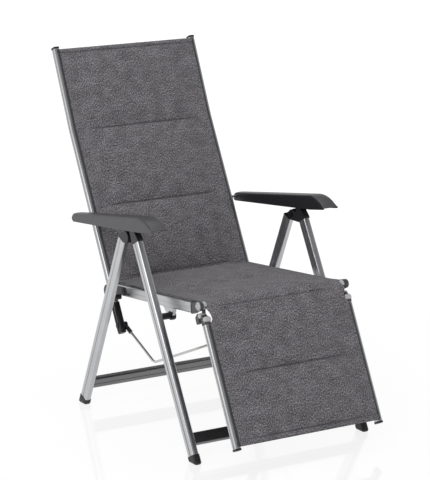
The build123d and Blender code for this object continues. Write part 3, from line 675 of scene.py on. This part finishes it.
def seatRoutePoints():
    # side-view points of the cloth's middle line: straight along the seat, one cubic Bezier
    # curve over the knee, straight down the leg rest
    plan = seatPlan
    down = -footUp
    seatNormal = np.array([-seatBack[1], seatBack[0]])
    footNormal = np.array([down[1], -down[0]])
    seatBase = chair.seatFront + seatNormal * plan.seatLift
    footBase = chair.knee + footNormal * plan.footLift
    seatRear, seatEnd = seatBase + seatBack * plan.rear, seatBase + seatBack * plan.front
    footTop, footEnd = footBase + down * plan.footTop, footBase + down * plan.footEnd
    t = np.linspace(0.0, 1.0, plan.bendRows)[:, None]
    first, second = seatEnd - seatBack * plan.pull[0], footTop - down * plan.pull[1]
    bend = ((1 - t) ** 3 * seatEnd + 3 * t * (1 - t) ** 2 * first
            + 3 * t ** 2 * (1 - t) * second + t ** 3 * footTop)
    rows = plan.straightRows
    return np.concatenate([
        np.linspace(seatRear, seatEnd, rows)[:-1], bend, np.linspace(footTop, footEnd, rows)[1:],
    ])


seatLine = seatRoutePoints()
seatSteps = np.concatenate([[0.0], np.cumsum(np.linalg.norm(np.diff(seatLine, axis=0), axis=1))])
seatTangent = np.gradient(seatLine, seatSteps, axis=0)
seatTangent /= np.linalg.norm(seatTangent, axis=1)[:, None]
seatLength = float(seatSteps[-1])


def seatRoute(along):
    # middle line of the seat and leg rest cloth, read from its route by length
    place = [np.interp(along, seatSteps, seatLine[:, k]) for k in (0, 1)]
    unit = [np.interp(along, seatSteps, seatTangent[:, k]) for k in (0, 1)]
    size = np.hypot(*unit)
    return place, (unit[1] / size, -unit[0] / size)


def seatDistance(point):
    # length along the seat cloth at which it passes nearest to a side-view point
    return seatSteps[np.argmin(np.linalg.norm(seatLine - point, axis=1))]


kneeSeam = seatDistance(seatPlan.kneeCrease) + seatPlan.kneeSeamPast
seamBack, seamUp = seatPlan.seatSeam
seatSeam = seatDistance(chair.seatFront + seatBack * seamBack + np.array([0.0, seamUp]))
footSeam, hemSeam = (seatDistance(chair.knee - footUp * down) for down in seatPlan.footSeams)


def seatHalf(along):
    # full width on the rails, a little more just above the knee, drawn in by an eased step
    # between the knee fittings and let out again below them
    over, narrow, again = (
        smooth((along - kneeSeam - start) / run)
        for start, run in (seatPlan.widens, seatPlan.narrows, seatPlan.widensAgain)
    )
    full = chair.sheetHalf + seatPlan.kneeOver * over * (1 - narrow)
    return full - (chair.sheetHalf - seatPlan.kneeHalf) * narrow * (1 - again)


def seatFullness(along):
    # the padding is thinned by a bell curve centred on the knee's seam
    thin, run = seatPlan.kneeThin
    return 1.0 - thin * np.exp(-((along - kneeSeam) / run) ** 2)


seatCloth = paddedPanel(
    "seat_cloth", seatRoute, (0.0, seatLength),
    (seatPlan.rearSeam, seatSeam, kneeSeam, footSeam, hemSeam), (hemSeam,), seatHalf, seatFullness,
)
settleCloth(seatCloth)
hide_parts("back_pad")
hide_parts("seat_pad", "footrest_pad")
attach(backCloth, "back_frame")
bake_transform(seatCloth)
print("cloth ready: back", round(backPlan.end - backPlan.start, 3), "m long, seat",
      round(seatLength, 3), "m long")

# Armrests: a thin moulded shell, open below, with a boss on the peg
armPlan = SimpleNamespace(
    inner=0.276,  # inner and outer side, from the middle of the chair
    outer=0.330,
    rearOuter=0.3175,  # the outer side starts here at the rear and swings out
    swing=(0.016, 0.52, 0.8),  # start behind the peg, length and power of that swing
    top=0.012,  # heights over the armrest's sloping line through the peg
    rearRadius=0.013,
    rearCentre=-0.003,
    bend=0.420,  # distances ahead of the peg
    tip=0.504,
    tipTop=-0.0250,
    tipLow=-0.0320,
    noseReach=0.003,
    underAt=0.432,
    underLow=-0.0330,
    rearLow=-0.014,
    round=0.0075,  # radius of the top's long edges
    roundMost=0.46,  # and its greatest share of the height
    crown=0.0010,
    wall=0.0034,
    edge=(0.0007, 50),  # bevel's width, and the turn in degrees that gets one
    rise=9.6,  # slope in degrees
    boss=(0.2785, 0.307),  # ends of the boss on the peg
    bossRadii=(0.0052, 0.0095),
    rows=(10, 34, 26, 7),  # stations on the rear round, the level, the drop and the nose
    roundFrom=0.06,  # shares of a quarter turn: start of the round, end of the nose
    noseTo=0.94,
    columns=(6, 8, 9),  # points on a side wall, a rounded edge and the top
)


def armHeights():
    # stations ahead of the peg, with the top's and the underside's height: half circle at
    # the rear, level top, one arc down to the tip, half ellipse at the nose
    plan = armPlan
    top, bend, tip, tipTop, tipLow = plan.top, plan.bend, plan.tip, plan.tipTop, plan.tipLow
    rearRadius, rearCentre = plan.rearRadius, plan.rearCentre
    roundRows, levelRows, dropRows, noseRows = plan.rows
    turn = np.linspace(plan.roundFrom, 1.0, roundRows) * math.pi / 2
    middleHeight = top - rearRadius
    rear = rearCentre - rearRadius * np.cos(turn)
    level = np.linspace(rearCentre, bend, levelRows)[1:]
    drop = np.linspace(bend, tip, dropRows)[1:]
    noseTurn = np.linspace(0.0, plan.noseTo, noseRows)[1:] * math.pi / 2
    ahead = np.concatenate([rear, level, drop, tip + plan.noseReach * np.sin(noseTurn)])
    fall = top - tipTop
    radius = ((tip - bend) ** 2 + fall ** 2) / (2 * fall)
    noseMiddle, noseHalf = (tipTop + tipLow) / 2, (tipTop - tipLow) / 2
    low = np.interp(
        np.concatenate([level, drop]), [rearCentre, plan.underAt, tip],
        [plan.rearLow, plan.underLow, tipLow])
    topLine = np.concatenate([
        middleHeight + rearRadius * np.sin(turn), np.full(len(level), top),
        top - radius + np.sqrt(radius ** 2 - (drop - bend) ** 2),
        noseMiddle + noseHalf * np.cos(noseTurn),
    ])
    lowLine = np.concatenate([
        middleHeight - rearRadius * np.sin(turn), low, noseMiddle - noseHalf * np.cos(noseTurn),
    ])
    return ahead, topLine, lowLine


def armPlace(ahead, height):
    # side-view place from the distance ahead of the peg and the height over its sloping line
    rise = math.radians(armPlan.rise)
    y = armPeg[0] - math.cos(rise) * ahead + math.sin(rise) * height
    z = armPeg[1] + math.sin(rise) * ahead + math.cos(rise) * height
    return y, z


def armShell(name, side):
    # section carried along the stations: inner wall, quarter round, crowned top, quarter
    # round, outer wall
    plan = armPlan
    ahead, topLine, lowLine = armHeights()
    start, run, power = plan.swing
    swing = np.sin(np.clip((ahead + start) / run, 0, 1) * math.pi / 2) ** power
    outer = (plan.rearOuter + (plan.outer - plan.rearOuter) * swing)[:, None]
    low, top = lowLine[:, None], topLine[:, None]
    corner = np.minimum(plan.round, plan.roundMost * (top - low))
    inner = np.full_like(corner, plan.inner)
    wallPoints, turnPoints, flatPoints = plan.columns
    wall = np.linspace(0.0, 1.0, wallPoints)[:-1]
    turn = np.linspace(0.0, math.pi / 2, turnPoints)
    flat = np.linspace(0.0, 1.0, flatPoints)[1:-1]
    wide = np.concatenate([
        inner + 0 * wall, inner + corner * (1 - np.cos(turn)),
        inner + corner + (outer - inner - 2 * corner) * flat,
        outer - corner * (1 - np.cos(turn[::-1])), outer + 0 * wall,
    ], axis=1)
    high = np.concatenate([
        low + (top - corner - low) * wall, top - corner * (1 - np.sin(turn)),
        top + plan.crown * 4 * flat * (1 - flat) * np.minimum(1, corner / plan.round),
        top - corner * (1 - np.sin(turn[::-1])), low + (top - corner - low) * wall[::-1],
    ], axis=1)
    y, z = armPlace(ahead[:, None], high)
    points = np.stack([side * wide, y, z], axis=-1)
    faces = gridFaces(*wide.shape, flip=side > 0).tolist()
    shell = buildPiece(name, points, faces, finishes["grey_plastic"])
    addWall(shell, plan.wall)
    roundEdges(shell, *plan.edge)
    return shell


sides = (("left", -1), ("right", 1))


def ringPiece(name, centre, ends, radii, finish, edge=0.0006, steps=48):
    # a turned ring across the chair: its four-cornered section carried round a circle
    turn = np.linspace(0, 2 * math.pi, steps, endpoint=False)[:, None]
    inner, outer = radii
    radius = np.array([outer, outer, inner, inner])
    across = np.array([ends[0], ends[1], ends[1], ends[0]])
    points = np.stack([
        across + 0 * turn, centre[0] + radius * np.cos(turn), centre[1] + radius * np.sin(turn),
    ], axis=-1)
    faces = gridFaces(steps + 1, 4, closedColumns=True) % (4 * steps)
    piece = buildPiece(name, points, faces.tolist(), finish)
    facingOut(piece)
    roundEdges(piece, edge)
    return piece


for sideName, side in sides:
    shell = armShell(f"arm_shell_{sideName}", side)
    boss = ringPiece(
        f"arm_boss_{sideName}", armPeg, [side * x for x in armPlan.boss],
        armPlan.bossRadii, finishes["grey_plastic"])
    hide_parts(f"armrest_{sideName}")
    for piece in (shell, boss):
        carry(piece, f"armrest_{sideName}")
print("armrests ready")

# Rounded plastic fittings at the knee. Distances across are from the middle of the chair.
fittingPlan = SimpleNamespace(
    inner=0.2365,
    split=0.2490,  # the housing starts here and the eye ends just short of it
    outer=0.2620,
    splitGap=(0.0005, 0.001),  # how far short of it the eye and the strap end
    step=0.002,  # the cap stands out and strap and root lie in by this much
    barrel=0.014,
    footBarrel=0.0125,
    edge=0.0030,  # rounding of a piece's two ends
    thinEdge=0.002,
    rootEdge=0.0025,
    ribEdge=(0.005, 0.0025),  # rounding and dome of a rib's ends
    edgeShares=(0.9, 0.45),  # most that a rounding takes of the radius and of the length
    railHalfDepth=0.017,
    railEndFrom=0.2395,
    footHalfDepth=0.012,
    footStart=0.055,  # where the leg rest's rail begins below the knee
    corner=0.004,  # rounding of the rails' end faces
    seatStart=0.002,
    rib=0.0088,
    frontRib=(0.043, 0.008),  # places down the leg rest from the knee, and toward its front
    frontRibTo=0.2585,
    rearRadius=0.0080,
    rearRib=(0.0270, -0.0105),
    rootTo=0.2575,
    rootRound=0.006,
    block=((0.0275, -0.029), (0.044, -0.030), (0.044, -0.020), (0.0225, -0.018)),
    blockRound=0.004,
    strap=0.0045,
    capFrom=0.255,
    capRadius=0.0132,
    capEdge=0.004,
    capRise=0.0055,
    eyeRise=0.0040,
)


def hullOutline(discs, ray):
    # tight band round some discs: for each direction, the centre and the radius of the disc
    # that reaches furthest
    centre = np.array([disc[0] for disc in discs])
    radius = np.array([disc[1] for disc in discs])
    best = np.argmax(ray @ centre.T + radius, axis=1)
    return centre[best], radius[best]


def cushionedPrism(name, discs, ends, finish, edge, rise=0.0, steps=72, bendRows=6, domeRows=7):
    # band round the discs carried across the chair: both ends are rounded in by a quarter
    # circle and closed by a low dome that shrinks to the middle point
    first, last = ends
    turn = np.linspace(0, 2 * math.pi, steps, endpoint=False)
    ray = np.stack([np.cos(turn), np.sin(turn)], axis=-1)
    centre, radius = hullOutline(discs, ray)
    side = np.sign(last - first)
    radiusShare, lengthShare = fittingPlan.edgeShares
    edge = min(edge, radiusShare * radius.min(), lengthShare * abs(last - first))
    bend = np.linspace(0, math.pi / 2, bendRows)
    shrink = np.linspace(1, 0, domeRows)[-2:0:-1]
    # for each ring from tip to full band: how far it is drawn in, its scale about the middle,
    # and how far it lies in from the end
    inset = np.concatenate([np.full(len(shrink), edge), edge * (1 - np.sin(bend))])
    scale = np.concatenate([shrink, np.ones(len(bend))])[:, None, None]
    depth = np.concatenate([-rise * (1 - shrink ** 2), edge * (1 - np.cos(bend))])
    middle = centre.mean(axis=0) + (ray * radius[:, None]).mean(axis=0)
    rings = centre + ray * (radius - inset[:, None])[..., None]
    rings = middle + scale * (rings - middle)
    rings = np.concatenate([rings, rings[::-1]])
    places = np.concatenate([first + side * depth, (last - side * depth)[::-1]])
    across = np.broadcast_to(places[:, None, None], (*rings.shape[:2], 1))
    points = np.concatenate([across, rings], axis=-1).reshape(-1, 3)
    tips = np.array([[first - side * rise, *middle], [last + side * rise, *middle]])
    loop = np.arange(steps)
    after = (loop + 1) % steps
    rows = len(rings)
    lastRow, tip = (rows - 1) * steps, np.full(steps, rows * steps)
    faces = (gridFaces(rows, steps, closedColumns=True).tolist()
             + np.stack([loop, after, tip], axis=-1).tolist()
             + np.stack([after + lastRow, loop + lastRow, tip + 1], axis=-1).tolist())
    piece = buildPiece(name, np.concatenate([points, tips]), faces, finish)
    facingOut(piece)
    return piece


def kneePlace(down, ahead):
    # side-view place from the knee axis: a distance down the leg rest and one toward its front
    unit = -footUp
    return chair.knee + unit * down + np.array([unit[1], -unit[0]]) * ahead


def railEnd(place, unit, half):
    # two small discs at the corners of a rail's end face
    normal = np.array([-unit[1], unit[0]])
    radius = fittingPlan.corner
    return [(place + end * normal * (half - radius), radius) for end in (1, -1)]


def kneeFitting(sideName, side):
    # seat side: housing and round cap outside; leg rest side: eye, strap, block and two ribs. Cap,
    # eye and ribs are a lighter copy of the hinge plastic, a painted highlight
    plan, hinge = fittingPlan, finishes["hinge_plastic"]
    step, corner, knee = plan.step, plan.rootRound, chair.knee
    inner, split, outer = plan.inner, plan.split, plan.outer
    eyeGap, strapGap = plan.splitGap
    seatStart = chair.seatFront + seatBack * plan.seatStart
    seatEnd = railEnd(seatStart, seatBack, plan.railHalfDepth)
    footTop = railEnd(kneePlace(plan.footStart, 0.0), footUp, plan.footHalfDepth)
    rear, front = kneePlace(*plan.rearRib), kneePlace(*plan.frontRib)
    cap, eye = (plan.capEdge, plan.capRise), (plan.capEdge, plan.eyeRise)
    # name, discs, ends, finish, rounding and dome
    seatRows = [
        ("knee_housing", seatEnd + [(knee, plan.barrel)], (split, outer), hinge, plan.edge),
        ("rail_end", seatEnd, (plan.railEndFrom, outer), hinge, plan.thinEdge),
        ("knee_cap", [(knee, plan.capRadius)], (plan.capFrom, outer + step), hingeHighlightPaint, *cap),
    ]
    footRows = [
        ("knee_eye", [(knee, plan.footBarrel)], (inner, split - eyeGap), hingeHighlightPaint, *eye),
        ("knee_strap", [(knee, plan.strap), (rear, plan.strap)],
         (inner + step, split - strapGap), hinge, plan.thinEdge),
        ("rear_rib", [(rear, plan.rearRadius)], (inner, outer), hingeHighlightPaint, *plan.ribEdge),
        ("front_rib", [(front, plan.rib)], (inner, plan.frontRibTo), hingeHighlightPaint, *plan.ribEdge),
        ("knee_root", footTop + [(front, corner), (rear, corner)],
         (inner + step, plan.rootTo), hinge, plan.rootEdge),
        ("knee_block", [(kneePlace(*place), plan.blockRound) for place in plan.block],
         (split, outer), hinge, plan.edge),
    ]
    for body, rows in (("seat_frame", seatRows), ("footrest", footRows)):
        for name, discs, ends, *rest in rows:
            piece = cushionedPrism(f"{name}_{sideName}", discs, [side * x for x in ends], *rest)
            carry(piece, body)
    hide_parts(f"seat_front_fitting_{sideName}")
    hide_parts(f"footrest_fitting_{sideName}")


for sideName, side in sides:
    kneeFitting(sideName, side)
print("knee fittings ready")

# Small plastic pieces: bushes round the seat's ears and a sleeve over each back rail's tail
trimPlan = SimpleNamespace(
    bushRadii=(0.0042, 0.0140),
    ear=(0.2405, 0.2541),
    sleeve=(-0.040, -0.1308),  # ends along the back, from the hinge
    sleeveProud=0.0008,
    sleeveWallShare=0.9,  # wall of the sleeve as a share of what it stands proud
    sleeveRows=12,
    railDepth=0.024,
    railWidth=0.018,
    railRound=0.005,
    cornerPoints=7,
    groove=0.0018,  # half the width of the rail's groove, and its depth
    railMiddle=0.249,
)
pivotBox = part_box("seat_spacers")
seatPivot = np.array([(pivotBox[0][1] + pivotBox[1][1]) / 2, (pivotBox[0][2] + pivotBox[1][2]) / 2])


def railOutline(proud):
    # outline of a rail: four rounded corners and a shallow groove in the middle of its outer side
    plan = trimPlan
    half = np.array([plan.railWidth, plan.railDepth]) / 2 + proud
    radius, groove = plan.railRound, plan.groove
    quarter = np.linspace(0, math.pi / 2, plan.cornerPoints)
    corners = []
    for turn, signs in enumerate(((1, 1), (-1, 1), (-1, -1), (1, -1))):
        angle = quarter + turn * math.pi / 2
        ray = np.stack([np.cos(angle), np.sin(angle)], axis=-1)
        corners.append((half - radius) * signs + radius * ray)
    outside, inside = half[0], half[0] - groove
    slot = np.array([[outside, -groove], [inside, -groove], [inside, groove], [outside, groove]])
    return np.concatenate(corners + [slot])


def tailSleeve(name, side):
    # the rail's outline a little proud, carried down the rail's tail
    plan = trimPlan
    outline = railOutline(plan.sleeveProud)
    across = np.array([backUp[1], -backUp[0]])
    steps = np.linspace(*plan.sleeve, plan.sleeveRows)
    middle = chair.hinge + steps[:, None] * backUp
    wide = np.broadcast_to(side * (plan.railMiddle + outline[:, 0]), (len(steps), len(outline)))
    place = middle[:, None, :] + outline[None, :, 1, None] * across
    points = np.concatenate([wide[..., None], place], axis=-1)
    faces = gridFaces(*wide.shape, closedColumns=True, flip=side < 0)
    sleeve = buildPiece(name, points, faces.tolist(), finishes["black_plastic"])
    addWall(sleeve, plan.sleeveProud * plan.sleeveWallShare)
    return sleeve


for sideName, side in sides:
    bush = ringPiece(
        f"ear_bush_{sideName}", seatPivot, [side * x for x in trimPlan.ear],
        trimPlan.bushRadii, finishes["black_plastic"])
    carry(bush, "seat_frame")
    carry(tailSleeve(f"tail_sleeve_{sideName}", side), "back_frame")
print("trim ready")

# Studio
studioPlan = SimpleNamespace(
    # place, target, width and length, power, and whether it mirrors in glossy pieces
    lamps={
        "keyLamp": ((-3.0, -2.8, 3.2), (0, 0, 0.5), (2.4, 2.4), 150.0, False),
        "fillLamp": ((3.2, -3.4, 1.8), (0, 0, 0.5), (2.0, 2.4), 55.0, False),
        "topLamp": ((0.2, 0.6, 4.2), (0, 0, 0.4), (3.0, 3.0), 64.0, True),
        "sideLamp": ((-1.35, 0.15, 0.62), (0, 0.05, 0.5), (0.9, 0.9), 5.0, True),
    },
    worldStrength=0.40,
    horizonWhite=0.20,  # the background is white up to this height on the unit sphere
    zenithFrom=0.46,
    zenithTone=0.30,
    floorHalf=14,
    floorTone=(0.88, 0.88, 0.88, 1),
    floorRough=0.18,
    floorOwn=0.08,  # share of the floor's own shading, with the shadow
    floorMirror=0.15,  # share of its reflection
    floorMirrorRough=0.05,
    floorGlow=1.085,  # the reflected ceiling is grey, so the glow makes up for it
    whiteFrom=1.3,  # the floor fades to plain white between these distances
    whiteTo=3.0,
)


def areaLamp(name, place, target, size, power, mirrored):
    # soft rectangular lamp aimed from its place at a target, never seen itself
    lamp = bpy.data.lights.new(name, "AREA")
    lamp.shape = "RECTANGLE"
    lamp.size, lamp.size_y = size
    lamp.energy = power
    holder = addObject(name, lamp)
    holder.location = place
    aim = Vector(target) - Vector(place)
    holder.rotation_euler = aim.to_track_quat("-Z", "Y").to_euler()
    holder.visible_camera = False
    holder.visible_glossy = mirrored


def shownRays(kit):
    # one where a camera, glossy or transmission ray looks, zero for the light on the object
    rays = newNode(kit, "LightPath").outputs
    seen = calculate(kit, "MAXIMUM", rays["Is Camera Ray"], rays["Is Glossy Ray"])
    return calculate(kit, "MAXIMUM", seen, rays["Is Transmission Ray"])


def mixShaders(kit, share, first, second):
    # from the first shader at zero to the second at one
    node = newNode(kit, "MixShader", Fac=share)
    kit[1].new(first, node.inputs[1])
    kit[1].new(second, node.inputs[2])
    return node.outputs[0]


def studioWorld():
    # even soft light on the object; the background shown is white round the horizon and
    # falls off to a grey ceiling overhead
    plan = studioPlan
    world = bpy.data.worlds.new("studioWorld")
    world.use_nodes = True
    nodes = world.node_tree.nodes
    kit = (nodes, world.node_tree.links)
    light = feedNode(kit, nodes["Background"], Color=(1, 1, 1, 1), Strength=plan.worldStrength)
    height = axisPart(kit, newNode(kit, "TexCoord").outputs["Generated"], "Z")
    ceiling = ramp(kit, height, [
        (plan.horizonWhite, (1, 1, 1)), (plan.zenithFrom, (plan.zenithTone,) * 3),
    ])
    shown = newNode(kit, "Background", Color=ceiling)
    mixed = mixShaders(kit, shownRays(kit), light.outputs[0], shown.outputs[0])
    kit[1].new(mixed, nodes["World Output"].inputs["Surface"])
    bpy.context.scene.world = world


def paleFloor():
    # its own shading, with the shadow, and a faint mirror show through a white glow; both
    # fade out with the distance from the chair, and no light comes from the glow
    plan = studioPlan
    material, kit, shader = newMaterial("paleFloor")
    feedNode(kit, shader, Base_Color=plan.floorTone, Roughness=plan.floorRough)
    mirror = newNode(kit, "BsdfGlossy", Roughness=plan.floorMirrorRough)
    glow = newNode(kit, "Emission", Strength=plan.floorGlow)
    place = newNode(kit, "TexCoord").outputs["Object"]
    away = newNode(kit, "VectorMath", {"operation": "LENGTH"}, Vector=place).outputs["Value"]
    kept = plan.floorOwn + plan.floorMirror
    fade = spread(kit, away, 1.0 - kept, 1.0, plan.whiteFrom, plan.whiteTo)
    shown = shownRays(kit)
    mirrored = calculate(kit, "MULTIPLY", shown, plan.floorMirror / kept)
    glowing = calculate(kit, "MULTIPLY", shown, fade)
    under = mixShaders(kit, mirrored, shader.outputs[0], mirror.outputs[0])
    mixed = mixShaders(kit, glowing, under, glow.outputs[0])
    kit[1].new(mixed, kit[0]["Material Output"].inputs["Surface"])
    corners = plan.floorHalf * np.array([[-1.0, -1, 0], [1, -1, 0], [1, 1, 0], [-1, 1, 0]])
    floor = buildPiece("floor", corners, [[0, 1, 2, 3]], material)


for lampName, lampValues in studioPlan.lamps.items():
    areaLamp(lampName, *lampValues)
studioWorld()
paleFloor()

# Camera
cameraPlan = SimpleNamespace(
    azimuth=-31.56,
    elevation=13.57,
    roll=0.22,
    distance=6.9767,
    target=(0.0, -shiftY, 0.55),
    right=-0.01826,  # the camera's own shift to its right and up, from the line to the target
    up=0.01321,
    sensor=36.0,
    focalPixels=2280.6,  # focal length as solved from the photo, in its pixels
    photoHeight=480.0,
)


def aimCamera():
    # a camera on a sphere round the target, turned about its own axis by the roll
    plan = cameraPlan
    angles = (plan.azimuth, plan.elevation, plan.roll)
    azimuth, elevation, roll = (math.radians(angle) for angle in angles)
    level = math.cos(elevation)
    back = np.array([math.sin(azimuth) * level, -math.cos(azimuth) * level, math.sin(elevation)])
    side = np.array([math.cos(azimuth), math.sin(azimuth), 0.0])
    top = np.cross(back, side)
    right = side * math.cos(roll) + top * math.sin(roll)
    up = -side * math.sin(roll) + top * math.cos(roll)
    place = (np.array(plan.target) + back * plan.distance
             + right * plan.right + up * plan.up)
    data = bpy.data.cameras.new("photoCamera")
    data.lens = plan.sensor * plan.focalPixels / plan.photoHeight
    data.sensor_fit = "AUTO"
    data.sensor_width = plan.sensor
    camera = addObject("photoCamera", data)
    pose = np.eye(4)
    pose[:3] = np.stack([right, up, back, place], axis=1)
    camera.matrix_world = Matrix(pose.tolist())
    bpy.context.scene.camera = camera


aimCamera()
view = bpy.context.scene.view_settings
view.view_transform = "Standard"
print("studio ready")
